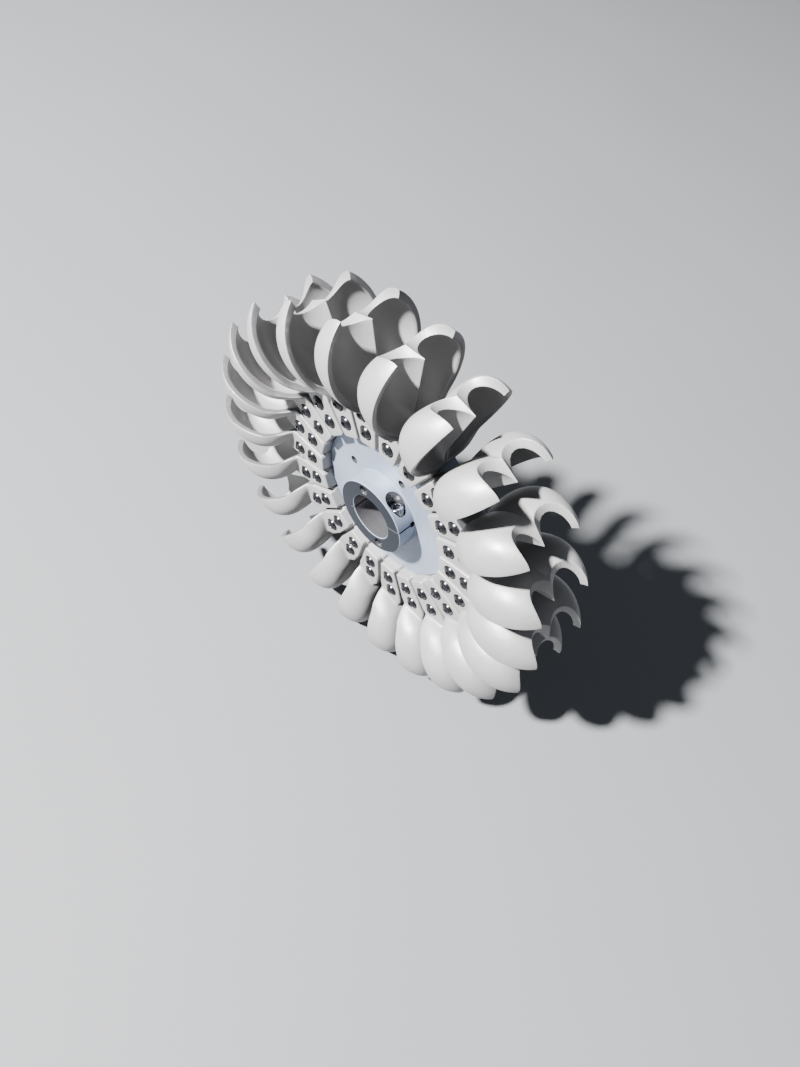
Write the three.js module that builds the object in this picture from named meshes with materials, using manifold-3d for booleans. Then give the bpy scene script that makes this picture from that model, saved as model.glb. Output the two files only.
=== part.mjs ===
// Pelton wheel: twenty-two twin-bowl buckets screwed round a flat hub disc.
//
// Frame: the wheel turns about the Y axis and its centre is the origin. The
// face with the screw heads looks towards -Y. Z is up when the wheel stands on
// its rim. Lengths are in millimetres.

import * as THREE from 'three';
import { mergeVertices } from 'three/addons/utils/BufferGeometryUtils.js';
import Module from 'manifold-3d';

const wasm = await Module();
wasm.setup();

// Driving dimensions

const BUCKET_COUNT = 22;
const PITCH = (2 * Math.PI) / BUCKET_COUNT;

// A bucket's horns lie this many degrees ahead of its middle line. The first
// bucket's angle from the upright puts the horns of the lowest two level.
const HORN_ANGLE = 2.35;
const FIRST_BUCKET_ANGLE = 180 + 180 / BUCKET_COUNT - HORN_ANGLE;

// Hub disc and boss
const BORE_RADIUS = 18;
const BOSS_RADIUS = 30;
const BOSS_FRONT = -19.4;
const BOSS_BACK = 19.4;
const WEB_FRONT = -4;
const DISC_BACK = 12.2;
const SHOULDER_RADIUS = 60.2;
const SEAT_FRONT = 0;
const DISC_RADIUS = 89.4;
const EDGE_CHAMFER = 1;
const HUB_SIDES = 44;

// The front of the boss is a clamp. A thin cut opens it on one side, runs on a
// little way into the far wall of the bore, and ends at a small round hole.
const CUT_ANGLE = 73;
const CUT_WIDTH = 1.2;
const CUT_END = -7;
const CUT_REACH = 22;
const CUT_END_HOLE_RADIUS = 2.2;
const CUT_END_HOLE_Y = -6.4;
const CUT_END_HOLE_START = 12;

// The clamping screw crosses the cut. Places along it are measured from there.
const CLAMP_OFFSET = 22.5;
const CLAMP_Y = -11.3;
const CLAMP_COUNTERBORE_RADIUS = 6.15;
const CLAMP_SEAT = -9.5;
const CLAMP_HEAD_RADIUS = 5;
const CLAMP_HEAD_HEIGHT = 6;
const CLAMP_SHANK_RADIUS = 3;
const CLAMP_SHANK_END = 8;
const CLAMP_SOCKET_RADIUS = 2.9;
const SCREW_GAP = 0.3;

// Two screws sunk in the end face of the boss
const FACE_SCREW_CIRCLE = 24;
const FACE_SCREW_ANGLES = [-18.5, 159.5];
const FACE_SCREW_RADIUS = 3.5;
const FACE_SCREW_LENGTH = 7;
const FACE_SCREW_SOCKET_RADIUS = 1.9;
const FACE_HOLE_DEPTH = 9;
const SOCKET_DEPTH = 3;

// Twin bowls of a bucket. They are longer towards the foot than outwards. The
// rim lies in a plane on the open side, and rises from it near the foot.
const RIM_OFFSET = 6.6;
const RIM_RISE = 4.4;
const RISE_START = 0.58;
const RISE_END = 0.92;
const BOWL_CENTRE = 130.4;
const BOWL_INWARDS = 36.2;
const BOWL_OUTWARDS = 32.3;
const BOWL_HALF_WIDTH = 32.6;
const WALL = 4.4;
const END_WALL = 5.8;
const BOWL_DEPTH = 18.5;
const SHELL_DEPTH = 23.6;
const LENGTH_FULLNESS = 1.55;
const WIDTH_FULLNESS = 1.15;
const SHELL_FULLNESS = 0.83;
const SPLITTER_EDGE = 0.5;
const VALLEY_ANGLE = Math.PI / 3;
const SHELL_SIDES = 20;
const SHELL_RINGS = 12;
const HOLLOW_SIDES = 16;
const HOLLOW_RINGS = 10;

// Cut-out at the outer end, where the jet enters: a round hole in each bowl,
// with the tip of the splitter left standing between the two.
const NOTCH_RADIUS = 12.9;
const NOTCH_OFFSET = 9.2;
const NOTCH_CENTRE = 161.1;
const NOTCH_SLANT = Math.PI / 25;
const NOTCH_SIDES = 24;

// Bucket foot, a wedge with two counterbored screws
const FOOT_INNER = 60.5;
const FOOT_JOINT_END = 82;
const FOOT_FRONT = -12.2;
const FOOT_BACK = -0.3;
const FOOT_GAP = 0.35;
const INNER_SCREW_CIRCLE = 72;
const OUTER_SCREW_CIRCLE = 86.2;
const OUTER_SCREW_SHIFT = -1;
const COUNTERBORE_RADIUS = 5.5;
const COUNTERBORE_DEPTH = 6.5;

const castSteel = { color: 0xb9b7b4, roughness: 0.55, metalness: 0.6 };
const turnedSteel = { color: 0xc6c9d2, roughness: 0.3, metalness: 0.9 };
const brightSteel = { color: 0x8f9297, roughness: 0.25, metalness: 1 };

// Solids

function toSolid(geometry) {
  const plain = geometry.clone();
  plain.deleteAttribute('normal');
  plain.deleteAttribute('uv');
  const merged = mergeVertices(plain, 1e-4);
  const index = merged.index.array;
  const faces = [];
  for (let i = 0; i < index.length; i += 3) {
    const [a, b, c] = index.slice(i, i + 3);
    if (a !== b && b !== c && c !== a) {
      faces.push(a, b, c);
    }
  }
  return new wasm.Manifold(new wasm.Mesh({
    numProp: 3,
    vertProperties: new Float32Array(merged.attributes.position.array),
    triVerts: new Uint32Array(faces),
  }));
}

function toGeometry(solid) {
  const mesh = solid.getMesh();
  const geometry = new THREE.BufferGeometry();
  geometry.setAttribute('position', new THREE.BufferAttribute(mesh.vertProperties, 3));
  geometry.setIndex(new THREE.BufferAttribute(mesh.triVerts, 1));
  geometry.computeVertexNormals();
  return geometry;
}

// A point on a circle round the Y axis. The angle runs from +Z towards +X.
function around(radius, degrees) {
  const angle = THREE.MathUtils.degToRad(degrees);
  return [radius * Math.sin(angle), radius * Math.cos(angle)];
}

// A prism along Y over an outline of [x, z] points.
function prismAlongY(outline, front, back) {
  const shape = new THREE.Shape(outline.map(([x, z]) => new THREE.Vector2(x, -z)));
  const geometry = new THREE.ExtrudeGeometry(shape, { depth: back - front, bevelEnabled: false });
  geometry.rotateX(-Math.PI / 2);
  geometry.translate(0, front, 0);
  return geometry;
}

// A round bar along Y, from front to back, with its centre at [x, z].
function barAlongY(radius, front, back, [x, z], sides) {
  const geometry = new THREE.CylinderGeometry(radius, radius, back - front, sides);
  geometry.translate(x, (front + back) / 2, z);
  return geometry;
}

// A round bar along X, from start to end, with its centre at y and z.
function barAlongX(radius, start, end, y, z, sides) {
  const geometry = new THREE.CylinderGeometry(radius, radius, end - start, sides);
  geometry.rotateZ(Math.PI / 2);
  geometry.translate((start + end) / 2, y, z);
  return geometry;
}

// Bucket

// Bends a sphere into a new form. The place function gets how far along the
// bucket a vertex is, how wide the sphere is there, and the angle across it.
// That angle is 0 on one rim, half a turn on the other and negative above them.
function bentSphere(sides, rings, place) {
  const geometry = new THREE.SphereGeometry(1, sides, rings);
  const position = geometry.attributes.position;
  for (let i = 0; i < position.count; i += 1) {
    const along = THREE.MathUtils.clamp(position.getY(i), -1, 1);
    const span = along * along > 0.999999 ? 0 : Math.sqrt(1 - along * along);
    const down = Math.abs(position.getX(i)) < 1e-6 ? 0 : position.getX(i);
    const angle = span > 0 ? Math.atan2(down, position.getZ(i)) : 0;
    position.setXYZ(i, ...place(along, span, angle));
  }
  return geometry;
}

// Where the rim is. It rises to the open side before it meets the foot.
function rimAt(along) {
  return RIM_OFFSET + RIM_RISE * THREE.MathUtils.smoothstep(-along, RISE_START, RISE_END);
}

// Turns every face of a geometry over.
function turnedOver(geometry) {
  const index = geometry.index;
  for (let i = 0; i < index.count; i += 3) {
    const first = index.getX(i);
    index.setX(i, index.getX(i + 1));
    index.setX(i + 1, first);
  }
  return geometry;
}

// The outside of both bowls: two round backs with a valley between them.
function shell() {
  return bentSphere(SHELL_SIDES, SHELL_RINGS, (along, span, angle) => {
    const length = along < 0 ? BOWL_INWARDS + WALL : BOWL_OUTWARDS + END_WALL;
    const z = BOWL_CENTRE + length * along;
    const width = (BOWL_HALF_WIDTH + WALL) * span;
    if (angle < 0 || span === 0) {
      return [rimAt(along), width * Math.cos(angle), z];
    }
    const side = angle < Math.PI / 2 ? 1 : -1;
    const turn = Math.min(angle, Math.PI - angle) * (2 - 2 * VALLEY_ANGLE / Math.PI);
    let inwards = Math.cos(turn) / Math.cos(VALLEY_ANGLE);
    let down = Math.sin(turn);
    if (turn < Math.PI / 2) {
      inwards = Math.pow(Math.cos(turn), SHELL_FULLNESS);
      down = Math.pow(down, SHELL_FULLNESS);
    }
    const depth = SHELL_DEPTH * Math.pow(span, LENGTH_FULLNESS) * down;
    return [rimAt(along) - depth, side * width * (1 + inwards) / 2, z];
  });
}

// The hollow of one bowl. It is open well above the rim.
function hollow(side) {
  const geometry = bentSphere(HOLLOW_SIDES, HOLLOW_RINGS, (along, span, angle) => {
    const z = BOWL_CENTRE + (along < 0 ? BOWL_INWARDS : BOWL_OUTWARDS) * along;
    const width = (BOWL_HALF_WIDTH - SPLITTER_EDGE) * span;
    const y = side * (SPLITTER_EDGE + width * (1 + Math.cos(angle)) / 2);
    if (angle < 0) {
      return [RIM_OFFSET + 12, y, z];
    }
    const across = Math.pow(Math.abs(Math.sin(angle)), WIDTH_FULLNESS);
    return [rimAt(along) - BOWL_DEPTH * Math.pow(span, LENGTH_FULLNESS) * across, y, z];
  });
  return side < 0 ? turnedOver(geometry) : geometry;
}

// One round hole of the cut-out. It slants inwards behind the rim.
function notch(side) {
  const geometry = barAlongX(NOTCH_RADIUS, -80, 80, 0, 0, NOTCH_SIDES);
  geometry.rotateY(-NOTCH_SLANT);
  geometry.translate(RIM_OFFSET, side * NOTCH_OFFSET, NOTCH_CENTRE);
  return geometry;
}

// The wedge between the joint faces of two neighbours, as [x, z] points.
function footOutline() {
  const slope = Math.tan(PITCH / 2);
  const gap = FOOT_GAP / 2 / Math.cos(PITCH / 2);
  const inner = FOOT_INNER * slope - gap;
  const outer = FOOT_JOINT_END * slope - gap;
  return [
    [-inner, FOOT_INNER],
    [inner, FOOT_INNER],
    [outer, FOOT_JOINT_END],
    [11.4, 90],
    [10.6, 95],
    [4, 104],
    [-6, 104],
    [-10.5, 93],
    [-outer, FOOT_JOINT_END],
  ];
}

function bucketSolid() {
  let body = toSolid(prismAlongY(footOutline(), FOOT_FRONT, FOOT_BACK));
  body = body.add(toSolid(shell()));
  for (const side of [-1, 1]) {
    body = body.subtract(toSolid(hollow(side)));
    body = body.subtract(toSolid(notch(side)));
  }
  const bottom = FOOT_FRONT + COUNTERBORE_DEPTH;
  for (const place of [around(INNER_SCREW_CIRCLE, 0), around(OUTER_SCREW_CIRCLE, OUTER_SCREW_SHIFT)]) {
    body = body.subtract(toSolid(barAlongY(COUNTERBORE_RADIUS, FOOT_FRONT - 2, bottom, place, 6)));
  }
  return body;
}

// Hub

// Turns a geometry about the wheel's axis, from the upright to the cut.
function turnedToCut(geometry) {
  return geometry.rotateY(THREE.MathUtils.degToRad(CUT_ANGLE));
}

// A round bar on the clamping screw's line.
function clampBar(radius, start, end, sides) {
  return toSolid(turnedToCut(barAlongX(radius, start, end, CLAMP_Y, CLAMP_OFFSET, sides)));
}

function spunHub() {
  const c = EDGE_CHAMFER;
  const profile = [
    [BORE_RADIUS, BOSS_FRONT + c],
    [BORE_RADIUS + c, BOSS_FRONT],
    [BOSS_RADIUS - c, BOSS_FRONT],
    [BOSS_RADIUS, BOSS_FRONT + c],
    [BOSS_RADIUS, WEB_FRONT],
    [SHOULDER_RADIUS, WEB_FRONT],
    [SHOULDER_RADIUS, SEAT_FRONT],
    [DISC_RADIUS, SEAT_FRONT],
    [DISC_RADIUS, DISC_BACK - c],
    [DISC_RADIUS - c, DISC_BACK],
    [BOSS_RADIUS, DISC_BACK],
    [BOSS_RADIUS, BOSS_BACK - c],
    [BOSS_RADIUS - c, BOSS_BACK],
    [BORE_RADIUS + c, BOSS_BACK],
    [BORE_RADIUS, BOSS_BACK - c],
    [BORE_RADIUS, BOSS_FRONT + c],
  ];
  return toSolid(new THREE.LatheGeometry(profile.map(([r, y]) => new THREE.Vector2(r, y)), HUB_SIDES));
}

function hubSolid() {
  const outside = BOSS_RADIUS + 2;
  const ahead = BOSS_FRONT - 2;
  const cut = new THREE.BoxGeometry(CUT_WIDTH, CUT_END - ahead, outside + CUT_REACH);
  cut.translate(0, (CUT_END + ahead) / 2, (outside - CUT_REACH) / 2);
  const drilled = outside - CUT_END_HOLE_START;
  const endHole = new THREE.CylinderGeometry(CUT_END_HOLE_RADIUS, CUT_END_HOLE_RADIUS, drilled, 16);
  endHole.rotateX(Math.PI / 2);
  endHole.translate(0, CUT_END_HOLE_Y, CUT_END_HOLE_START + drilled / 2);

  let hub = spunHub();
  hub = hub.subtract(toSolid(turnedToCut(cut)));
  hub = hub.subtract(toSolid(turnedToCut(endHole)));
  hub = hub.subtract(clampBar(CLAMP_COUNTERBORE_RADIUS, -40, CLAMP_SEAT, 20));
  hub = hub.subtract(clampBar(CLAMP_SHANK_RADIUS + SCREW_GAP, -40, CLAMP_SHANK_END + SCREW_GAP, 14));
  for (const degrees of FACE_SCREW_ANGLES) {
    hub = hub.subtract(toSolid(barAlongY(FACE_SCREW_RADIUS + SCREW_GAP, ahead,
      BOSS_FRONT + FACE_HOLE_DEPTH, around(FACE_SCREW_CIRCLE, degrees), 14)));
  }
  return hub;
}

function clampScrewSolid() {
  const seat = CLAMP_SEAT - SCREW_GAP;
  const top = seat - CLAMP_HEAD_HEIGHT;
  const head = clampBar(CLAMP_HEAD_RADIUS, top, seat, 18);
  const shank = clampBar(CLAMP_SHANK_RADIUS, seat - 1, CLAMP_SHANK_END, 14);
  const socket = clampBar(CLAMP_SOCKET_RADIUS, top - 1, top + SOCKET_DEPTH, 6);
  return head.add(shank).subtract(socket);
}

function faceScrewSolid(degrees) {
  const place = around(FACE_SCREW_CIRCLE, degrees);
  const seat = BOSS_FRONT + FACE_HOLE_DEPTH - SCREW_GAP;
  const top = seat - FACE_SCREW_LENGTH;
  const head = toSolid(barAlongY(FACE_SCREW_RADIUS, top, seat, place, 14));
  return head.subtract(toSolid(barAlongY(FACE_SCREW_SOCKET_RADIUS, top - 1, top + SOCKET_DEPTH, place, 6)));
}

// Scene graph

const wheel = new THREE.Group();

function addPiece(name, geometry, material) {
  const mesh = new THREE.Mesh(geometry, new THREE.MeshStandardMaterial(material));
  mesh.name = name;
  wheel.add(mesh);
  return mesh;
}

addPiece('hub_disc', toGeometry(hubSolid()), turnedSteel);
addPiece('clamp_screw', toGeometry(clampScrewSolid()), brightSteel);
FACE_SCREW_ANGLES.forEach((degrees, i) => {
  addPiece(`boss_face_screw_${i + 1}`, toGeometry(faceScrewSolid(degrees)), brightSteel);
});

const bucketGeometry = toGeometry(bucketSolid());
for (let i = 0; i < BUCKET_COUNT; i += 1) {
  const number = String(i + 1).padStart(2, '0');
  const bucket = addPiece(`bucket_${number}`, bucketGeometry, castSteel);
  bucket.rotation.y = THREE.MathUtils.degToRad(FIRST_BUCKET_ANGLE) - i * PITCH;
}

export default wheel;
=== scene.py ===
# %% [markdown]
# # A Pelton wheel
#
# This wheel is driven by a jet of water. Its twenty-two cast buckets are screwed
# by their feet to a flat turned disc, and the disc has a boss with a bore for the
# shaft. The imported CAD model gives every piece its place. Each of its plain
# solids is replaced here by a finer piece with a finish, in the same frame: the
# wheel turns about Y, the screw heads face -Y, and Z is up.

# %% Load the CAD model
import math

import bmesh
import bpy
from mathutils import Matrix, Vector


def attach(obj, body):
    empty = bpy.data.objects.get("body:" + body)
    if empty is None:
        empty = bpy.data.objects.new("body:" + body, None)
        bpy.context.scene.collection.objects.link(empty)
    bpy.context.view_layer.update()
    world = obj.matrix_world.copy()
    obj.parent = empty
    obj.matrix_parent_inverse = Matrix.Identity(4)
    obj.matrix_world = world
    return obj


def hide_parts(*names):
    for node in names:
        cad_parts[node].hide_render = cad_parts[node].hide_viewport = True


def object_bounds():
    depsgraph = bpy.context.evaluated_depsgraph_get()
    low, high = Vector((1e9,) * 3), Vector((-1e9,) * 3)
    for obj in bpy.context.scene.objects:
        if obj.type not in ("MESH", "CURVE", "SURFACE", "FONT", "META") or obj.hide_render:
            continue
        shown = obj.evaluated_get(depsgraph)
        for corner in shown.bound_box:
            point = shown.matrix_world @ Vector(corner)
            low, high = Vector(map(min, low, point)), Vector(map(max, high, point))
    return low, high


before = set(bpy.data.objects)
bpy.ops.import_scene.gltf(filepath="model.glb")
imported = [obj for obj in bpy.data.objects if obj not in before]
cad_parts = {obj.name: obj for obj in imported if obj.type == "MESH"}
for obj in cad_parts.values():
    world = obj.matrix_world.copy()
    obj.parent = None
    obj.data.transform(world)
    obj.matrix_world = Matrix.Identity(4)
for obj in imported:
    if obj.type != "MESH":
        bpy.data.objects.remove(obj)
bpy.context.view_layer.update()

MM = 0.001

# %% [markdown]
# ## From numbers to a mesh
#
# The pieces are easiest to think of in millimetres, so they are made that way
# and scaled down once at the end. One helper turns points and faces into an
# object and makes all faces look outwards. Another one runs a stack of modifiers
# and keeps the result as a plain mesh, and a third adds or cuts one solid with
# another.

# %% Mesh helpers
SAME_POINT = 1e-5


def mesh_object(name, points, faces):
    mesh = bpy.data.meshes.new(name)
    mesh.from_pydata([tuple(p) for p in points], [], faces)
    work = bmesh.new()
    work.from_mesh(mesh)
    bmesh.ops.remove_doubles(work, verts=work.verts, dist=SAME_POINT)
    bmesh.ops.recalc_face_normals(work, faces=work.faces)
    work.to_mesh(mesh)
    work.free()
    piece = bpy.data.objects.new(name, mesh)
    bpy.context.scene.collection.objects.link(piece)
    return piece


def apply_modifiers(piece):
    bpy.context.view_layer.update()
    shown = piece.evaluated_get(bpy.context.evaluated_depsgraph_get())
    mesh = bpy.data.meshes.new_from_object(shown)
    piece.modifiers.clear()
    piece.data = mesh
    return piece


def combine(piece, tool, operation):
    cut = piece.modifiers.new(operation, "BOOLEAN")
    cut.object = tool
    cut.operation = operation
    cut.solver = "MANIFOLD"
    apply_modifiers(piece)
    bpy.data.objects.remove(tool)
    return piece


def face_count(piece):
    """Triangles, counting a face with more corners as the triangles it splits into."""
    return sum(len(f.vertices) - 2 for f in piece.data.polygons)


print("points nearer than", SAME_POINT, "mm are joined")

# %% [markdown]
# Most of what is made by hand here is a row of rings: outlines with the same
# number of points, joined one to the next and closed at both ends. A prism is
# two outlines, a round bar is two circles, and a screw head is a dozen. So one
# helper makes them all.

# %% Rings into solids


def loft(name, rings):
    count = len(rings[0])
    points = [p for ring in rings for p in ring]
    faces = [tuple(range(count)), tuple(range(len(points) - count, len(points)))]
    for i in range(0, len(points) - count, count):
        for j in range(count):
            k = (j + 1) % count
            faces.append((i + j, i + k, i + count + k, i + count + j))
    return mesh_object(name, points, faces)


def prism(name, outline, front, back):
    """An outline of (x, z) points, stretched along the wheel's axis."""
    return loft(name, [[(x, y, z) for x, z in outline] for y in (front, back)])


def bar(name, radius, start, end, sides=96):
    """A round bar between two points."""
    start, end = Vector(start), Vector(end)
    turn = (end - start).to_track_quat("Z", "Y")
    angles = [2 * math.pi * j / sides for j in range(sides)]
    circle = [turn @ Vector((radius * math.cos(a), radius * math.sin(a), 0)) for a in angles]
    return loft(name, [[centre + p for p in circle] for centre in (start, end)])


print("rings can now be joined into a loft, a prism or a bar")

# %% [markdown]
# ## The form of a bucket
#
# A bucket is two bowls side by side. The jet hits the splitter, the sharp wall
# between them, and each bowl turns half of it round. One could draw such bowls
# as curves and loft them. Here a sphere is bent instead: each of its points
# knows how far it is along the bucket, and what angle it has across it, and a
# short formula says where it goes. One bent sphere is the outside, and two more
# are the hollows that are cut out of it.
#
# A bucket is made with its length along Z, the wheel's axis along Y, and its
# open side towards +X. Its rim, and so the horns at its outer end, lie a few
# degrees beside its middle. The wheel stands on the horns of its lowest two
# buckets, and the angle of the first bucket is chosen so that these are level.

# %% Bucket sizes
BUCKET_COUNT = 22
PITCH = 2 * math.pi / BUCKET_COUNT
HORN_ANGLE = 2.35
FIRST_BUCKET_ANGLE = 180 + 180 / BUCKET_COUNT - HORN_ANGLE

RIM_OFFSET = 6.6
RIM_RISE = 4.4
RISE_START, RISE_END = 0.58, 0.92
BOWL_CENTRE = 130.4
BOWL_INWARDS, BOWL_OUTWARDS = 36.2, 32.3
BOWL_HALF_WIDTH = 32.6
WALL, END_WALL = 4.4, 5.3
BOWL_DEPTH, SHELL_DEPTH = 18.5, 23.6
LENGTH_FULLNESS, WIDTH_FULLNESS, SHELL_FULLNESS = 1.55, 1.15, 0.83
SPLITTER_EDGE = 0.5
VALLEY_ANGLE = math.pi / 3
print("pitch of the buckets:", round(math.degrees(PITCH), 2), "degrees")

# %% [markdown]
# The sphere is a grid of points. Every ring of it lies across the bucket, and the
# two poles are the bucket's inner and outer end. Half of each ring is below the
# rim and half above it. The rim itself is flat, and rises a little towards the
# inner end.

# %% Bent sphere


def smooth_step(x, low, high):
    t = min(max((x - low) / (high - low), 0), 1)
    return t * t * (3 - 2 * t)


def bent_sphere(name, place, sides=96, rings=72):
    points = [place(1, 0, 0)]
    for i in range(1, rings):
        along = math.cos(math.pi * i / rings)
        span = math.sqrt(1 - along * along)
        for j in range(sides):
            angle = 2 * math.pi * j / sides
            points.append(place(along, span, angle - 2 * math.pi * (angle > math.pi)))
    points.append(place(-1, 0, 0))
    last = len(points) - 1
    faces = []
    for j in range(sides):
        k = (j + 1) % sides
        faces.append((0, 1 + j, 1 + k))
        faces.append((last, last - sides + k, last - sides + j))
        for i in range(rings - 2):
            a, b = 1 + i * sides, 1 + (i + 1) * sides
            faces.append((a + j, b + j, b + k, a + k))
    return mesh_object(name, points, faces)


def rim_at(along):
    return RIM_OFFSET + RIM_RISE * smooth_step(-along, RISE_START, RISE_END)


print("height of the rim:", rim_at(1), "mm at the outer end,", rim_at(-1), "mm at the inner")

# %% [markdown]
# The outside has a round back for each bowl and a valley between the two. Over
# the open side it is flat, up to the height of the rim.

# %% Outside of the bowls


def place_shell(along, span, angle):
    z = BOWL_CENTRE + (BOWL_INWARDS + WALL if along < 0 else BOWL_OUTWARDS + END_WALL) * along
    width = (BOWL_HALF_WIDTH + WALL) * span
    if angle < 0 or span == 0:
        return rim_at(along), width * math.cos(angle), z
    side = 1 if angle < math.pi / 2 else -1
    turn = min(angle, math.pi - angle) * (2 - 2 * VALLEY_ANGLE / math.pi)
    if turn > math.pi / 2:
        inwards, down = math.cos(turn) / math.cos(VALLEY_ANGLE), math.sin(turn)
    else:
        inwards, down = (abs(v) ** SHELL_FULLNESS for v in (math.cos(turn), math.sin(turn)))
    depth = SHELL_DEPTH * span ** LENGTH_FULLNESS * down
    return rim_at(along) - depth, side * width * (1 + inwards) / 2, z


body = bent_sphere("body", place_shell)
print("outside of the bowls:", face_count(body), "triangles")

# %% [markdown]
# ## The foot
#
# The foot is a wedge, so that twenty-two of them close the ring. It is a plain
# outline with a thickness, joined to the bowls before they are hollowed, so that
# what would stand in a bowl is cut away with the rest. Neighbours come close only
# at the back of the joint. Towards the front each foot is a little narrower, so
# the joint shows as a shallow groove, and small chamfers make bright lines beside
# it.

# %% Foot outline
FOOT_INNER, FOOT_JOINT_END = 60.5, 82.0
JOINT_CHAMFER = 1.2
NECK_RIGHT = [(11.2, 86), (11.5, 90), (11, 94), (8, 99), (4, 104)]
NECK_LEFT = [(-6, 104), (-10.2, 97), (-10.5, 92)]


def foot_outline(gap):
    """Points (x, z) round the foot, which is narrower than its share by the gap."""
    slope = math.tan(PITCH / 2)
    inner = FOOT_INNER * slope - gap / 2
    corner = inner + JOINT_CHAMFER * slope
    outer = FOOT_JOINT_END * slope - gap / 2
    return [(-inner + JOINT_CHAMFER, FOOT_INNER), (inner - JOINT_CHAMFER, FOOT_INNER),
            (corner, FOOT_INNER + JOINT_CHAMFER), (outer, FOOT_JOINT_END),
            *NECK_RIGHT, *NECK_LEFT,
            (-outer, FOOT_JOINT_END), (-corner, FOOT_INNER + JOINT_CHAMFER)]


def inset(outline, size):
    """Moves each side of an outline inwards. The points run anticlockwise."""
    moved = []
    for i, p in enumerate(outline):
        before = Vector(p) - Vector(outline[i - 1])
        after = Vector(outline[(i + 1) % len(outline)]) - Vector(p)
        inwards = [Vector((-way.y, way.x)).normalized() for way in (before, after)]
        mitre = (inwards[0] + inwards[1]) / (1 + inwards[0].dot(inwards[1]))
        moved.append(tuple(Vector(p) + size * mitre))
    return moved


print("foot outline:", len(foot_outline(0)), "points")

# %% [markdown]
# The foot is a loft through five outlines, from the front to the back: a smaller
# one that makes the chamfer, two narrow ones for the depth of the groove, and two
# wide ones for the rest. All have the same number of points.

# %% Foot
FOOT_FRONT, FOOT_BACK, FOOT_CHAMFER = -12.2, -0.3, 0.6
JOINT_GAP, GROOVE_WIDTH, GROOVE_FLOOR, GROOVE_STEP = 0.5, 3.2, -7.4, 0.1

narrow, wide = foot_outline(GROOVE_WIDTH), foot_outline(JOINT_GAP)
foot_rings = [(inset(narrow, FOOT_CHAMFER), FOOT_FRONT), (narrow, FOOT_FRONT + FOOT_CHAMFER),
              (narrow, GROOVE_FLOOR), (wide, GROOVE_FLOOR + GROOVE_STEP), (wide, FOOT_BACK)]
foot = loft("foot", [[(x, y, z) for x, z in outline] for outline, y in foot_rings])
combine(body, foot, "UNION")
print("foot from", FOOT_INNER, "mm, thickness", round(FOOT_BACK - FOOT_FRONT, 1), "mm")

# %% [markdown]
# ## Hollows and cut-out
#
# Each hollow is deepest in the middle of its bowl and rises to the splitter,
# which so gets a sharp edge and a broad root. The cut-out at the outer end lets
# the jet pass to the next bucket. Each bowl has a round hole of its own there,
# slanting inwards behind the rim, and the tip of the splitter is what is left
# between the two. Each hollow flares a little at the rim, which bevels its edge.

# %% Form of a hollow
RIM_BEVEL = 1.2
BEVEL_FADE = (0.35, 0.75)
HOLLOW_TOP = RIM_OFFSET + 12


def place_hollow(side):
    def place(along, span, angle):
        across = abs(math.sin(angle)) ** WIDTH_FULLNESS
        depth = BOWL_DEPTH * span ** LENGTH_FULLNESS * across if angle > 0 else 0
        flare = max(0, RIM_BEVEL - depth) * (1 - smooth_step(along, *BEVEL_FADE))
        z = BOWL_CENTRE + ((BOWL_INWARDS if along < 0 else BOWL_OUTWARDS) + flare) * along
        width = (BOWL_HALF_WIDTH - SPLITTER_EDGE + flare) * span
        y = side * (SPLITTER_EDGE + width * (1 + math.cos(angle)) / 2)
        return (rim_at(along) - depth if angle >= 0 else HOLLOW_TOP), y, z

    return place


print("hollows reach up to", round(HOLLOW_TOP, 1), "mm, over the rim")

# %% [markdown]
# Both hollows and both round holes are cut one after the other. Each hole is a
# long bar, set at a slant, that goes right through.

# %% Cut the bowls
NOTCH_RADIUS, NOTCH_OFFSET, NOTCH_CENTRE, NOTCH_REACH = 12.9, 9.2, 161.1, 80
NOTCH_SLANT = math.pi / 25

reach = NOTCH_REACH * Vector((math.cos(NOTCH_SLANT), 0, math.sin(NOTCH_SLANT)))
for side in (-1, 1):
    combine(body, bent_sphere("hollow", place_hollow(side)), "DIFFERENCE")
    middle = Vector((RIM_OFFSET, side * NOTCH_OFFSET, NOTCH_CENTRE))
    combine(body, bar("notch", NOTCH_RADIUS, middle - reach, middle + reach), "DIFFERENCE")
print("bucket before smoothing:", face_count(body), "triangles")

# %% [markdown]
# ## A cast skin
#
# A casting has no knife edges: metal flows round every corner. A bevel would
# have trouble on so many crossing curves. A voxel remesh makes one even skin of
# small squares instead, and smoothing it rounds all edges a little. Where the
# bowl grows out of the foot there is a wide fillet, so the smoothing is stronger
# there, and at the thin horns it is weaker. A weight for each point says how
# much of the smoothing it gets.

# %% Where the smoothing acts
NECK_START, NECK_END = (84, 90), (101, 108)
NECK_FRONT, NECK_DEPTH = -14, (6, 11)
HORN_START, HORN_HOLD = (150, 156), 0.7


def weigh(piece, name, weight_at):
    """A vertex group with a weight for each point."""
    group = piece.vertex_groups.new(name=name)
    for v in piece.data.vertices:
        group.add([v.index], weight_at(v.co), "REPLACE")
    return name


def neck_weight(p):
    radial = smooth_step(p.z, *NECK_START) * (1 - smooth_step(p.z, *NECK_END))
    return radial * (1 - smooth_step(abs(p.y - NECK_FRONT), *NECK_DEPTH))


def edge_weight(p):
    return 1 - HORN_HOLD * smooth_step(p.z, *HORN_START)


print("fillet round the point", (0, NECK_FRONT, (NECK_START[1] + NECK_END[0]) / 2))

# %% [markdown]
# The remesh comes first, then the two smoothings. At the end the skin is thinned
# out, as flat places need few faces.

# %% Even skin and soft edges
VOXEL = 0.3
EDGE_PASSES, FILLET_PASSES = 3, 160
SKIN_TRIANGLES = 28000

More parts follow.
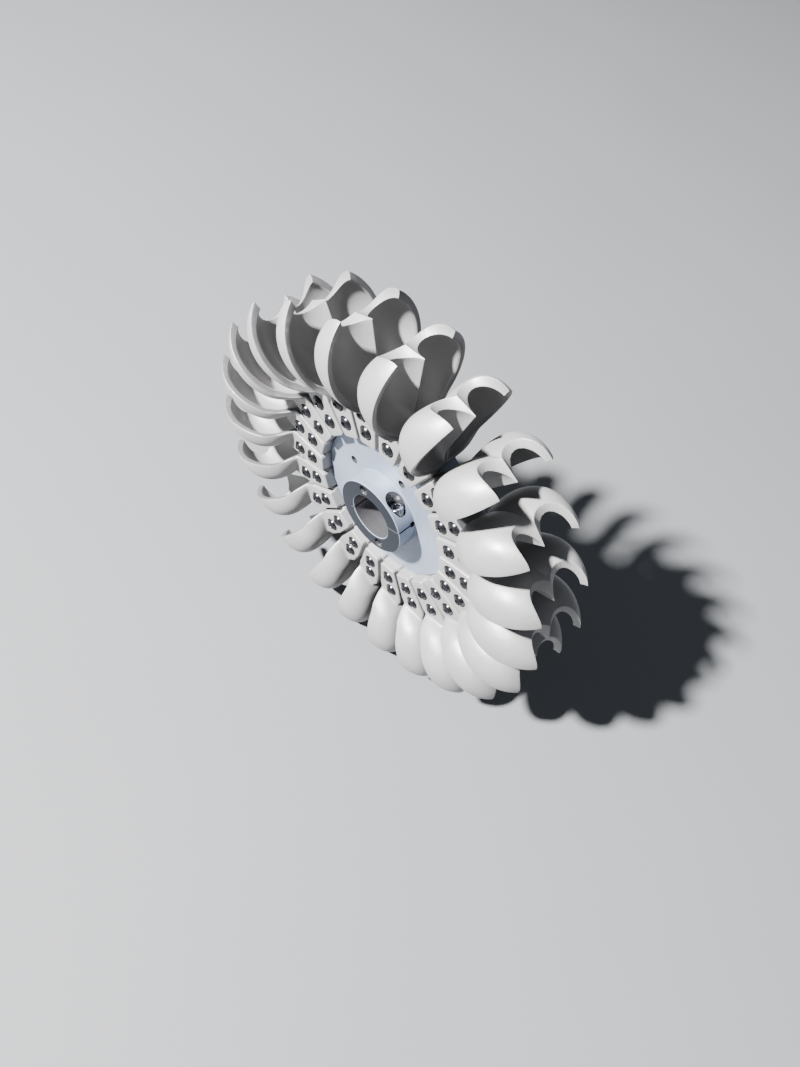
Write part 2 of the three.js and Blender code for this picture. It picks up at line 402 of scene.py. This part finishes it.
remesh = body.modifiers.new("skin", "REMESH")
remesh.mode = "VOXEL"
remesh.voxel_size = VOXEL
apply_modifiers(body)
edges = body.modifiers.new("edges", "SMOOTH")
edges.factor, edges.iterations = 0.5, EDGE_PASSES
edges.vertex_group = weigh(body, "rounding", edge_weight)
fillet = body.modifiers.new("fillet", "SMOOTH")
fillet.factor, fillet.iterations = 0.5, FILLET_PASSES
fillet.vertex_group = weigh(body, "neck", neck_weight)
print("skin:", face_count(body), "triangles")
thin = body.modifiers.new("thin", "DECIMATE")
thin.ratio = SKIN_TRIANGLES / face_count(body)
apply_modifiers(body)
print("thinned skin:", face_count(body), "triangles")

# %% [markdown]
# ## Screw holes
#
# The counterbores are drilled after casting, so their edges are crisp, and they
# are cut last. The narrower hole for the screw's shank is hidden by the head, so
# it is left out. A place on the wheel is given by its distance from the axis and
# an angle.

# %% Counterbores
SCREW_PLACES = [(72.0, 0.0), (86.2, -1.0)]
COUNTERBORE_RADIUS, COUNTERBORE_DEPTH, COUNTERBORE_START = 5.5, 6.5, 3


def on_circle(radius, degrees, y):
    """A point round the wheel's axis. The angle runs from +Z towards +X."""
    a = math.radians(degrees)
    return Vector((radius * math.sin(a), y, radius * math.cos(a)))


for radius, degrees in SCREW_PLACES:
    top = on_circle(radius, degrees, FOOT_FRONT - COUNTERBORE_START)
    bottom = on_circle(radius, degrees, FOOT_FRONT + COUNTERBORE_DEPTH)
    combine(body, bar("counterbore", COUNTERBORE_RADIUS, top, bottom, 64), "DIFFERENCE")
print("finished bucket:", face_count(body), "triangles")

# %% [markdown]
# ## Finishes
#
# The steel is shown with several finishes. The buckets are cast and blasted:
# light grey, matt, with a very fine grain and slight clouds. The hub is turned on
# a lathe, which leaves fine rings round the axis. The bucket screws are dark.
# Each finish is a small tree of nodes, and its grain comes from noise in the
# object's own space, so it needs no unwrapping.

# %% Material and noise


def new_material(name, colour, metallic, roughness):
    material = bpy.data.materials.new(name)
    material.use_nodes = True
    tree = material.node_tree
    shader = tree.nodes["Principled BSDF"]
    shader.inputs["Base Color"].default_value = (*colour, 1)
    shader.inputs["Metallic"].default_value = metallic
    shader.inputs["Roughness"].default_value = roughness
    return material, tree, shader


def object_point(tree):
    return tree.nodes.new("ShaderNodeTexCoord").outputs["Object"]


def noise(tree, scale, detail=3.0):
    node = tree.nodes.new("ShaderNodeTexNoise")
    node.inputs["Scale"].default_value = scale
    node.inputs["Detail"].default_value = detail
    tree.links.new(object_point(tree), node.inputs["Vector"])
    return node.outputs["Fac"]


print("noise of scale 1000 has a grain of about 1 mm")

# %% [markdown]
# Noise stays mostly near its middle. Between a low and a high mark it is spread
# over a range of numbers for the roughness, or over two tones for the colour. As
# a height it makes bumps, given in metres.

# %% What the noise drives
NOISE_LOW, NOISE_HIGH = 0.3, 0.7


def spread(tree, value, low, high):
    """Turns noise into a number between low and high."""
    node = tree.nodes.new("ShaderNodeMapRange")
    node.inputs["From Min"].default_value = NOISE_LOW
    node.inputs["From Max"].default_value = NOISE_HIGH
    node.inputs["To Min"].default_value = low
    node.inputs["To Max"].default_value = high
    tree.links.new(value, node.inputs["Value"])
    return node.outputs["Result"]


def two_tones(tree, value, first, second):
    """Turns noise into a blend of two colours."""
    ramp = tree.nodes.new("ShaderNodeValToRGB")
    ramp.color_ramp.elements[0].position = NOISE_LOW
    ramp.color_ramp.elements[1].position = NOISE_HIGH
    ramp.color_ramp.elements[0].color = (*first, 1)
    ramp.color_ramp.elements[1].color = (*second, 1)
    tree.links.new(value, ramp.inputs["Fac"])
    return ramp.outputs["Color"]


def bump(tree, height, distance, strength=1.0, under=None):
    node = tree.nodes.new("ShaderNodeBump")
    node.inputs["Distance"].default_value = distance
    node.inputs["Strength"].default_value = strength
    tree.links.new(height, node.inputs["Height"])
    if under is not None:
        tree.links.new(under, node.inputs["Normal"])
    return node.outputs["Normal"]


print("noise is spread out between", NOISE_LOW, "and", NOISE_HIGH)

# %% [markdown]
# Blasted steel scatters light in all directions, so it is rough, and only partly
# metallic because the blasting leaves a pale, dull skin. Two sizes of noise make
# the grain: the coarse one is the casting's own skin. The rims of the bowls were
# ground flat afterwards, so they are smoother. Their darker colour is painted
# shade.

# %% Blasted casting
blasted, tree, shader = new_material("blasted_cast_steel", (0.20, 0.198, 0.198), 0.3, 0.5)
clouds = two_tones(tree, noise(tree, 28, 4), (0.185, 0.183, 0.183), (0.215, 0.213, 0.213))
tree.links.new(clouds, shader.inputs["Base Color"])
tree.links.new(spread(tree, noise(tree, 90, 3), 0.42, 0.58), shader.inputs["Roughness"])
skin = bump(tree, noise(tree, 260, 3), 0.00012)
tree.links.new(bump(tree, noise(tree, 1900, 2), 0.00003, under=skin), shader.inputs["Normal"])

# Painted shade: the rim's darker base colour stands in for the shade on the flat rims.
rim_painted_shade, tree, shader = new_material("ground_rim_steel_painted_shade", (0.12, 0.12, 0.125), 0.5, 0.4)
clouds = two_tones(tree, noise(tree, 40), (0.11, 0.11, 0.115), (0.13, 0.13, 0.136))
tree.links.new(clouds, shader.inputs["Base Color"])
tree.links.new(spread(tree, noise(tree, 300, 2), 0.32, 0.46), shader.inputs["Roughness"])
tree.links.new(bump(tree, noise(tree, 1400, 2), 0.00001), shader.inputs["Normal"])
print("made", blasted.name, "and", rim_painted_shade.name)

# %% [markdown]
# A lathe leaves rings. Their height depends only on the distance from the axis,
# and on the place along the axis for the sides of the boss. A noise that is
# looked up at that distance gives rings of uneven strength. The shine is drawn
# out across the rings, which is what anisotropy does.

# %% Rings from the lathe
RING_WIDTH_SCALE, RING_FINE_SCALE = 900, 2600


def ring_noise(tree, scale):
    """Noise over the distance from Y and the place along it."""
    point = tree.nodes.new("ShaderNodeSeparateXYZ")
    tree.links.new(object_point(tree), point.inputs["Vector"])
    flat = tree.nodes.new("ShaderNodeCombineXYZ")
    tree.links.new(point.outputs["X"], flat.inputs["X"])
    tree.links.new(point.outputs["Z"], flat.inputs["Z"])
    length = tree.nodes.new("ShaderNodeVectorMath")
    length.operation = "LENGTH"
    tree.links.new(flat.outputs["Vector"], length.inputs[0])
    profile = tree.nodes.new("ShaderNodeCombineXYZ")
    tree.links.new(length.outputs["Value"], profile.inputs["X"])
    tree.links.new(point.outputs["Y"], profile.inputs["Y"])
    node = tree.nodes.new("ShaderNodeTexNoise")
    node.inputs["Scale"].default_value = scale
    node.inputs["Detail"].default_value = 2
    tree.links.new(profile.outputs["Vector"], node.inputs["Vector"])
    return node.outputs["Fac"]


def turned_steel(name, colour, metallic, low, high, stretch, ring_height):
    """Steel with a roughness between low and high, from ring to ring."""
    material, tree, shader = new_material(name, colour, metallic, 0.3)
    shader.inputs["Anisotropic"].default_value = stretch
    tangent = tree.nodes.new("ShaderNodeTangent")
    tangent.direction_type = "RADIAL"
    tangent.axis = "Y"
    tree.links.new(tangent.outputs["Tangent"], shader.inputs["Tangent"])
    shine = spread(tree, ring_noise(tree, RING_WIDTH_SCALE), low, high)
    tree.links.new(shine, shader.inputs["Roughness"])
    rings = bump(tree, ring_noise(tree, RING_FINE_SCALE), ring_height)
    tree.links.new(rings, shader.inputs["Normal"])
    return material


print("rings repeat about every", round(1000 / RING_WIDTH_SCALE, 1), "mm")

# %% [markdown]
# The hub gets three such finishes. The disc and the boss's side are satin, and
# their slight blue tint is a painted reflection. The boss's end face was cut very
# fine and acts as a mirror, and its dark blue colour is a painted reflection. The
# bore is smooth, but duller than a mirror, and it is made darker as painted shade.

# %% Turned finishes
# Painted reflection in the satin's blue tint and in the end face's dark blue; painted shade in
# the bored steel's darker tone.
satin = turned_steel("turned_satin_steel", (0.17, 0.20, 0.26), 0.4, 0.36, 0.46, 0.55, 0.00001)
faced_painted_reflection = turned_steel("faced_steel_painted_reflection", (0.018, 0.026, 0.042), 1, 0.08, 0.14, 0.3, 0.000003)
bored = turned_steel("bored_steel_painted_shade", (0.15, 0.148, 0.16), 0.8, 0.24, 0.34, 0.3, 0.000005)
print("made", satin.name + ",", faced_painted_reflection.name, "and", bored.name)

# %% [markdown]
# The bucket screws are nearly black. The oxide on them isn't metallic, but it is
# dense and smooth, so it mirrors the key light as one small bright spot. The
# clamping screw is plain bright steel.

# %% Screw finishes
dark, tree, shader = new_material("black_oxide_steel", (0.003, 0.0033, 0.0045), 0, 0.2)
shader.inputs["IOR"].default_value = 1.5
tree.links.new(spread(tree, noise(tree, 500, 2), 0.2, 0.26), shader.inputs["Roughness"])
clouds = two_tones(tree, noise(tree, 220), (0.002, 0.0022, 0.003), (0.004, 0.0044, 0.006))
tree.links.new(clouds, shader.inputs["Base Color"])
bright, tree, shader = new_material("bright_screw_steel", (0.22, 0.23, 0.25), 1, 0.2)
tree.links.new(spread(tree, noise(tree, 700, 2), 0.14, 0.3), shader.inputs["Roughness"])
tree.links.new(bump(tree, noise(tree, 1500), 0.00001), shader.inputs["Normal"])
print("made", dark.name, "and", bright.name)

# %% [markdown]
# ## Placing the buckets
#
# All buckets are the same casting. The mesh is scaled to metres once, and each
# copy is turned about the wheel's axis in its own vertices, so that its box and
# its grain are true. Every piece of the wheel gets its finish from one helper.
# Faces that meet at a sharp angle keep a hard edge.

# %% Finish and place


def finish_piece(piece, material, smooth_below=40):
    """Gives a piece its material, and hard edges over an angle in degrees."""
    piece.data.materials.clear()
    piece.data.materials.append(material)
    piece.data.shade_smooth()
    piece.data.set_sharp_from_angle(angle=math.radians(smooth_below))
    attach(piece, "root")
    return piece


def bucket_turn(index):
    return math.radians(FIRST_BUCKET_ANGLE) - index * PITCH


print("first bucket at", round(FIRST_BUCKET_ANGLE, 2), "degrees from +Z")

# %% [markdown]
# The ground rim is no piece of its own. It is those faces of the casting that
# look towards the open side and lie at the height of the rim, and they get the
# second material, with its painted shade. Which ones they are is found once, in
# millimetres.

# %% The ring of buckets
RIM_FACING, RIM_NEAR = 0.8, 0.3
CASTING_SMOOTH_BELOW = 35


def on_rim(face):
    reach = BOWL_OUTWARDS + END_WALL if face.center.z > BOWL_CENTRE else BOWL_INWARDS + WALL
    height = rim_at((face.center.z - BOWL_CENTRE) / reach)
    return face.normal.x > RIM_FACING and abs(face.center.x - height) < RIM_NEAR


painted_shade_rim_faces = [int(on_rim(f)) for f in body.data.polygons]
body.vertex_groups.clear()
body.data.transform(Matrix.Scale(MM, 4))
for index in range(BUCKET_COUNT):
    number = f"{index + 1:02d}"
    casting = bpy.data.objects.new(f"bucket_casting_{number}", body.data.copy())
    bpy.context.scene.collection.objects.link(casting)
    casting.data.transform(Matrix.Rotation(bucket_turn(index), 4, "Y"))
    finish_piece(casting, blasted, CASTING_SMOOTH_BELOW)
    casting.data.materials.append(rim_painted_shade)
    casting.data.polygons.foreach_set("material_index", painted_shade_rim_faces)
    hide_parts(f"bucket_{number}")
print(BUCKET_COUNT, "buckets of", face_count(body), "triangles,", sum(painted_shade_rim_faces), "on the rim")
bpy.data.objects.remove(body)

# %% [markdown]
# ## Bucket screws
#
# Each screw has a domed head with a small hexagon socket, and it stands a little
# proud of the foot. Any such head is a stack of circles that follows a profile.
# The socket has six flat sides, so its rings of points are bent from round to
# hexagon.

# %% Head with a socket
SOCKET_BEVEL = 0.2


def socket_head(name, profile, socket_radius, socket_depth, sides=48):
    """A head along -Y. Its profile of (radius, y) runs from the seat to the socket."""
    def ring(y, radius_at):
        angles = [2 * math.pi * j / sides for j in range(sides)]
        return [(radius_at(a) * math.sin(a), y, radius_at(a) * math.cos(a)) for a in angles]

    def hexagon(a):
        flat = socket_radius * math.cos(math.pi / 6)
        return flat / math.cos(a % (math.pi / 3) - math.pi / 6)

    top = profile[-1][1]
    rings = [ring(y, lambda a, r=r: r) for r, y in profile]
    rings.append(ring(top, lambda a: hexagon(a) + SOCKET_BEVEL))
    rings.append(ring(top + SOCKET_BEVEL, hexagon))
    rings.append(ring(top + socket_depth, hexagon))
    return loft(name, rings)


print("a socket's edge is bevelled by", SOCKET_BEVEL, "mm")

# %% [markdown]
# The dome is part of a ball that is a little wider than the head. It curves
# strongly at its edge, which is where the key light is mirrored.

# %% Screw head
HEAD_RADIUS, HEAD_SIDE_END, SEAT_GAP = 5.05, -11.5, 0.05
HEAD_SEAT = FOOT_FRONT + COUNTERBORE_DEPTH - SEAT_GAP
DOME_RADIUS, DOME_CENTRE, DOME_STEPS = 5.3, -9.9, 8
DOME_EDGE = HEAD_RADIUS - 0.1
SCREW_SOCKET_RADIUS, SCREW_SOCKET_DEPTH, SOCKET_LIP = 2.3, 2.6, 0.3

dome = [(HEAD_RADIUS, HEAD_SEAT), (HEAD_RADIUS, HEAD_SIDE_END)]
for step in range(DOME_STEPS + 1):
    radius = DOME_EDGE - step * (DOME_EDGE - SCREW_SOCKET_RADIUS - SOCKET_LIP) / DOME_STEPS
    dome.append((radius, DOME_CENTRE - math.sqrt(DOME_RADIUS ** 2 - radius ** 2)))
head = socket_head("head", dome, SCREW_SOCKET_RADIUS, SCREW_SOCKET_DEPTH)
head.data.transform(Matrix.Scale(MM, 4))
print("screw head:", face_count(head), "triangles, top at", round(dome[-1][1], 1), "mm")

# %% [markdown]
# The screws were tightened by hand, so their sockets point every way. A fixed
# step of the golden angle turns each one differently, and the same way each run.

# %% Forty-four screws
GOLDEN_ANGLE = math.radians(137.5)

count = 0
for index in range(BUCKET_COUNT):
    for ring, (radius, degrees) in zip(("inner", "outer"), SCREW_PLACES):
        screw = bpy.data.objects.new(f"bucket_screw_{ring}_{index + 1:02d}", head.data.copy())
        bpy.context.scene.collection.objects.link(screw)
        screw.data.transform(Matrix.Rotation(count * GOLDEN_ANGLE, 4, "Y"))
        screw.data.transform(Matrix.Translation(on_circle(radius, degrees, 0) * MM))
        screw.data.transform(Matrix.Rotation(bucket_turn(index), 4, "Y"))
        finish_piece(screw, dark, 50)
        count += 1
bpy.data.objects.remove(head)
print(count, "screws")

# %% [markdown]
# ## The hub
#
# The disc and the boss are one piece from the lathe, so a profile is spun round
# the axis. Small chamfers on every corner catch the light as bright rings. The
# cut and the holes come afterwards, as they do in the workshop.

# %% Profile and spin


def chamfered(profile, size):
    """Cuts each corner of a closed outline of (radius, y) points."""
    out = []
    count = len(profile)
    for i, p in enumerate(profile):
        p = Vector(p)
        for other in (profile[i - 1], profile[(i + 1) % count]):
            way = Vector(other) - p
            out.append(tuple(p + way.normalized() * min(size, way.length / 3)))
    return out


def spun(name, profile, sides=256):
    points, faces = [], []
    count = len(profile)
    for j in range(sides):
        a = 2 * math.pi * j / sides
        for r, y in profile:
            points.append((r * math.sin(a), y, r * math.cos(a)))
    for j in range(sides):
        k = (j + 1) % sides
        for i in range(count):
            m = (i + 1) % count
            faces.append((j * count + i, j * count + m, k * count + m, k * count + i))
    return mesh_object(name, points, faces)


cut_square = chamfered([(0, 0), (3, 0), (3, 3), (0, 3)], 1)
print("a square with its corners cut has", len(cut_square), "points")

# %% [markdown]
# The profile runs once round the section of the hub. The web in the middle of the
# disc stands a little higher than the seat for the feet, and its edge is the
# shoulder that the feet meet.

# %% Spun hub
BORE_RADIUS, BOSS_RADIUS = 18.0, 30.0
BOSS_FRONT, BOSS_BACK = -19.4, 19.4
WEB_FRONT, DISC_BACK = -4.0, 12.2
SHOULDER_RADIUS, DISC_RADIUS = 60.2, 89.4
CHAMFER = 0.4

hub_outline = [(BORE_RADIUS, BOSS_FRONT), (BOSS_RADIUS, BOSS_FRONT), (BOSS_RADIUS, WEB_FRONT),
               (SHOULDER_RADIUS, WEB_FRONT), (SHOULDER_RADIUS, 0), (DISC_RADIUS, 0),
               (DISC_RADIUS, DISC_BACK), (BOSS_RADIUS, DISC_BACK), (BOSS_RADIUS, BOSS_BACK),
               (BORE_RADIUS, BOSS_BACK)]
hub = spun("hub_turned", chamfered(hub_outline, CHAMFER))
print("spun hub:", face_count(hub), "triangles")

# %% [markdown]
# The front of the boss grips the shaft. A thin saw cut runs through its wall and
# a little way into the far wall, down to a small round hole that stops it from
# tearing. All this is made as if the cut pointed up, and then turned to where the
# photograph shows it.

# %% Saw cut
CUT_ANGLE = math.radians(73)
CUT_HALF_WIDTH, CUT_END, CUT_REACH = 0.6, -7.0, 22.0
CUT_END_HOLE_RADIUS, CUT_END_HOLE_Y, CUT_END_HOLE_START = 2.2, -6.4, 12.0
SAW_START, OUTSIDE = 5, 40


def drill(piece, radius, start, end, turn=0.0, sides=64):
    """Drills a hole and turns it about the wheel's axis."""
    hole = bar("hole", radius, start, end, sides)
    hole.data.transform(Matrix.Rotation(turn, 4, "Y"))
    combine(piece, hole, "DIFFERENCE")


saw = prism("saw", [(-CUT_HALF_WIDTH, -CUT_REACH), (CUT_HALF_WIDTH, -CUT_REACH),
                    (CUT_HALF_WIDTH, OUTSIDE), (-CUT_HALF_WIDTH, OUTSIDE)],
            BOSS_FRONT - SAW_START, CUT_END)
saw.data.transform(Matrix.Rotation(CUT_ANGLE, 4, "Y"))
combine(hub, saw, "DIFFERENCE")
drill(hub, CUT_END_HOLE_RADIUS, (0, CUT_END_HOLE_Y, CUT_END_HOLE_START),
      (0, CUT_END_HOLE_Y, OUTSIDE), CUT_ANGLE)
print("cut of", 2 * CUT_HALF_WIDTH, "mm with a hole at its end")

# %% [markdown]
# A screw across the cut pulls the two lips of the clamp together. Its hole has a
# wide counterbore, which opens in the side of the boss, and a narrow part that
# crosses the cut and ends in the other lip.

# %% Hole for the clamping screw
CLAMP_OFFSET, CLAMP_Y = 22.5, -11.3
CLAMP_COUNTERBORE_RADIUS, CLAMP_SEAT = 6.15, -9.5
CLAMP_SHANK_RADIUS, CLAMP_SHANK_END = 3.3, 8.3

clamp_hole = ((CLAMP_COUNTERBORE_RADIUS, CLAMP_SEAT), (CLAMP_SHANK_RADIUS, CLAMP_SHANK_END))
for radius, end in clamp_hole:
    drill(hub, radius, (-OUTSIDE, CLAMP_Y, CLAMP_OFFSET), (end, CLAMP_Y, CLAMP_OFFSET),
          CUT_ANGLE)
print("hole for the clamping screw", CLAMP_OFFSET, "mm from the axis")

# %% [markdown]
# Two more holes go into the boss's end face, for the face screws, and two small
# ones into the web. Their places were measured in the photograph. Each drill
# starts a little above the face.

# %% Holes in the faces
FACE_SCREW_CIRCLE = 24.0
FACE_SCREW_ANGLES = (-18.5, 159.5)
FACE_HOLE_RADIUS, FACE_HOLE_DEPTH = 3.8, 9.0
SMALL_HOLES = ((39.0, 20.4), (39.7, -59.2))
SMALL_HOLE_RADIUS, SMALL_HOLE_DEPTH = 3.2, 6.0
DRILL_START = 2

for degrees in FACE_SCREW_ANGLES:
    start = on_circle(FACE_SCREW_CIRCLE, degrees, BOSS_FRONT - DRILL_START)
    end = on_circle(FACE_SCREW_CIRCLE, degrees, BOSS_FRONT + FACE_HOLE_DEPTH)
    drill(hub, FACE_HOLE_RADIUS, start, end)
for radius, degrees in SMALL_HOLES:
    start = on_circle(radius, degrees, WEB_FRONT - DRILL_START)
    end = on_circle(radius, degrees, WEB_FRONT + SMALL_HOLE_DEPTH)
    drill(hub, SMALL_HOLE_RADIUS, start, end)
print("hub with its holes:", face_count(hub), "triangles")

# %% [markdown]
# The end faces of the boss were cut finer and mirror the ground, and their dark
# blue colour is a painted reflection. The bore, the saw cut and the drilled holes
# are smooth too, and are made darker than the turned faces as painted shade, for
# little light gets into them. These are faces of the same mesh with other
# materials: a face belongs to a hole if all its corners are on its wall. So each
# hole is written down as a point, a direction and a radius.

# %% Walls of the holes
ON_WALL = 0.02

aside = Matrix.Rotation(CUT_ANGLE, 3, "Y")
axis = Vector((0, 1, 0))
clamp_line = (aside @ Vector((0, CLAMP_Y, CLAMP_OFFSET)), aside @ Vector((1, 0, 0)))
end_hole_line = (aside @ Vector((0, CUT_END_HOLE_Y, 0)), aside @ Vector((0, 0, 1)))
hole_walls = [(Vector((0, 0, 0)), axis, BORE_RADIUS), (*clamp_line, CLAMP_COUNTERBORE_RADIUS),
              (*end_hole_line, CUT_END_HOLE_RADIUS)]
for degrees in FACE_SCREW_ANGLES:
    hole_walls.append((on_circle(FACE_SCREW_CIRCLE, degrees, 0), axis, FACE_HOLE_RADIUS))
for radius, degrees in SMALL_HOLES:
    hole_walls.append((on_circle(radius, degrees, 0), axis, SMALL_HOLE_RADIUS))


def in_hole(corners, line, way, radius):
    """Whether points, in millimetres, are all within a radius of a line."""
    return all((p - line).cross(way).length < radius + ON_WALL for p in corners)


def in_cut(corners):
    return all(abs((aside.transposed() @ p).x) < CUT_HALF_WIDTH + ON_WALL for p in corners)


print(len(hole_walls), "holes in the hub get the bored finish")

# %% [markdown]
# The hub is scaled to metres, and its faces are sorted once. Most stay satin.

# %% Finish of the hub
HUB_SMOOTH_BELOW = 20
FACED, BORED = 1, 2
END_FACING, END_NEAR = 0.9, 0.99

hub.data.transform(Matrix.Scale(MM, 4))
finish_piece(hub, satin, HUB_SMOOTH_BELOW)
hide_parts("hub_disc")
hub.data.materials.append(faced_painted_reflection)
hub.data.materials.append(bored)
# The walls of the holes and of the cut get the painted shade, and the end faces get the
# painted reflection.
counts = [0, 0, 0]
for f in hub.data.polygons:
    corners = [hub.data.vertices[v].co / MM for v in f.vertices]
    if in_cut(corners) or any(in_hole(corners, *hole) for hole in hole_walls):
        f.material_index = BORED
    elif abs(f.normal.y) > END_FACING and abs(f.center.y) > END_NEAR * BOSS_BACK * MM:
        f.material_index = FACED
    counts[f.material_index] += 1
print("hub:", face_count(hub), "triangles; turned, faced and bored faces:", counts)

# %% [markdown]
# ## Clamping and face screws
#
# The clamping screw has a tall cylinder head that sinks half into the side of
# the boss. Its head and the thick end of its shank are one stack of rings, made
# along -Y like the others and then laid across the cut. The two numbers of a
# socket are its radius, to the corners, and its depth.

# %% Clamping screw
SCREW_GAP = 0.3
SHANK_RADIUS, CLAMP_HEAD_RADIUS = 3.0, 5.0
CLAMP_HEAD_EDGE = [(CLAMP_HEAD_RADIUS, -15.2), (4.85, -15.5), (4.3, -15.8)]
CLAMP_SOCKET = (2.9, 3.6)

clamp_profile = [(SHANK_RADIUS, CLAMP_SHANK_END - SCREW_GAP),
                 (SHANK_RADIUS, CLAMP_SEAT - SCREW_GAP),
                 (CLAMP_HEAD_RADIUS, CLAMP_SEAT - SCREW_GAP), *CLAMP_HEAD_EDGE]
clamp = socket_head("clamp_screw_head", clamp_profile, *CLAMP_SOCKET)
clamp.data.transform(Matrix.Rotation(-math.pi / 2, 4, "Z"))
clamp.data.transform(Matrix.Translation((0, CLAMP_Y, CLAMP_OFFSET)))
clamp.data.transform(Matrix.Rotation(CUT_ANGLE, 4, "Y"))
clamp.data.transform(Matrix.Scale(MM, 4))
finish_piece(clamp, bright)
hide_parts("clamp_screw")
print("clamping screw:", face_count(clamp), "triangles")

# %% [markdown]
# The two screws in the end face of the boss are small and dark, and lie below the
# face. Their heads are plain cylinders with a chamfer, given from the seat up.

# %% Face screws
FACE_HEAD = [(3.5, 0), (3.5, 6.4), (3.2, 6.8), (2.8, 7)]
FACE_SOCKET = (1.9, 3)

seat = BOSS_FRONT + FACE_HOLE_DEPTH - SCREW_GAP
for i, degrees in enumerate(FACE_SCREW_ANGLES):
    profile = [(radius, seat - height) for radius, height in FACE_HEAD]
    screw = socket_head(f"boss_face_screw_head_{i + 1}", profile, *FACE_SOCKET)
    screw.data.transform(Matrix.Translation(on_circle(FACE_SCREW_CIRCLE, degrees, 0)))
    screw.data.transform(Matrix.Scale(MM, 4))
    finish_piece(screw, dark)
    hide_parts(f"boss_face_screw_{i + 1}")
print("two face screws")

# %% [markdown]
# ## Floor, light and camera
#
# The wheel stands on its rim on a plain pale floor. The floor lies exactly at the
# lowest point of the wheel, and fills the whole picture when the camera looks
# down on it as in the photograph.

# %% Floor
FLOOR_HALF = 6

floor_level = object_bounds()[0].z
square = [(x * FLOOR_HALF, y * FLOOR_HALF, floor_level)
          for x, y in ((-1, -1), (1, -1), (1, 1), (-1, 1))]
floor = mesh_object("floor", square, [(0, 1, 2, 3)])
ground, tree, shader = new_material("pale_floor", (0.095, 0.099, 0.105), 0, 0.8)
clouds = two_tones(tree, noise(tree, 3), (0.093, 0.097, 0.103), (0.097, 0.101, 0.107))
tree.links.new(clouds, shader.inputs["Base Color"])
floor.data.materials.append(ground)
print("floor at", round(floor_level / MM, 2), "mm")

# %% [markdown]
# The photograph was taken in strong light from high up and a little to the left
# of the screw heads. Its direction was found from the edges between light and
# shade on the bowls. One strong, small lamp stands there. Two large weak ones and
# a pale sky keep the shadows from going black.

# %% Light
KEY_WAY, KEY_DISTANCE, KEY_SIZE, KEY_POWER = (-0.289, -0.567, 0.772), 3.0, 0.2, 1200
FILL_DISTANCE, FILL_SIZE, FILL_POWER = 2.4, 1.8, 1
FILL_RIGHT_WAY, FILL_LEFT_WAY = (0.9, -0.5, 0.7), (-0.9, -0.2, 0.45)
SKY_STRENGTH = 0.33


def lamp(name, way, distance, size, power, colour):
    light = bpy.data.lights.new(name, "AREA")
    light.shape = "DISK"
    light.size = size
    light.energy = power
    light.color = colour
    holder = bpy.data.objects.new(name, light)
    bpy.context.scene.collection.objects.link(holder)
    way = Vector(way).normalized()
    holder.location = way * distance
    holder.rotation_euler = way.to_track_quat("Z", "Y").to_euler()


lamp("key", KEY_WAY, KEY_DISTANCE, KEY_SIZE, KEY_POWER, (1.0, 0.985, 0.97))
fill = (FILL_DISTANCE, FILL_SIZE, FILL_POWER)
lamp("fill_right", FILL_RIGHT_WAY, *fill, (0.92, 0.96, 1.0))
lamp("fill_left", FILL_LEFT_WAY, *fill, (0.94, 0.97, 1.0))
world = bpy.data.worlds.new("studio")
bpy.context.scene.world = world
world.use_nodes = True
sky = world.node_tree.nodes["Background"]
sky.inputs["Color"].default_value = (0.80, 0.86, 0.95, 1)
sky.inputs["Strength"].default_value = SKY_STRENGTH
print("three lamps and a pale sky")

# %% [markdown]
# The camera looks down on the wheel from the place where the photograph was
# taken. The screw heads lie on two circles, and a camera that sees all of them
# where the photograph has them can be worked out. Its focal length and the point
# that it looks straight at are given in the photograph's pixels.

# %% Camera
PHOTO_WIDTH, PHOTO_HEIGHT = 800, 1067
FOCAL_PIXELS = 798.06
STRAIGHT_X, STRAIGHT_Y = 469.147, 555.507
SENSOR_WIDTH = 36
CAMERA_PLACE = (0.2523, -0.2516, 0.4551)
CAMERA_RIGHT, CAMERA_FORWARD = (0.7164, 0.6893, 0.1081), (-0.3284, 0.4698, -0.8194)

camera = bpy.data.cameras.new("camera")
camera.sensor_fit = "HORIZONTAL"
camera.sensor_width = SENSOR_WIDTH
camera.lens = FOCAL_PIXELS * SENSOR_WIDTH / PHOTO_WIDTH
camera.shift_x = (PHOTO_WIDTH / 2 - STRAIGHT_X) / PHOTO_WIDTH
camera.shift_y = (STRAIGHT_Y - PHOTO_HEIGHT / 2) / PHOTO_WIDTH
camera.clip_start = 0.02
viewer = bpy.data.objects.new("camera", camera)
bpy.context.scene.collection.objects.link(viewer)
right = Vector(CAMERA_RIGHT).normalized()
forward = Vector(CAMERA_FORWARD).normalized()
up = right.cross(forward)
place = Matrix((right, up, -forward)).transposed().to_4x4()
place.translation = Vector(CAMERA_PLACE)
viewer.matrix_world = place
bpy.context.scene.camera = viewer
print("camera at", [round(v, 3) for v in viewer.location])
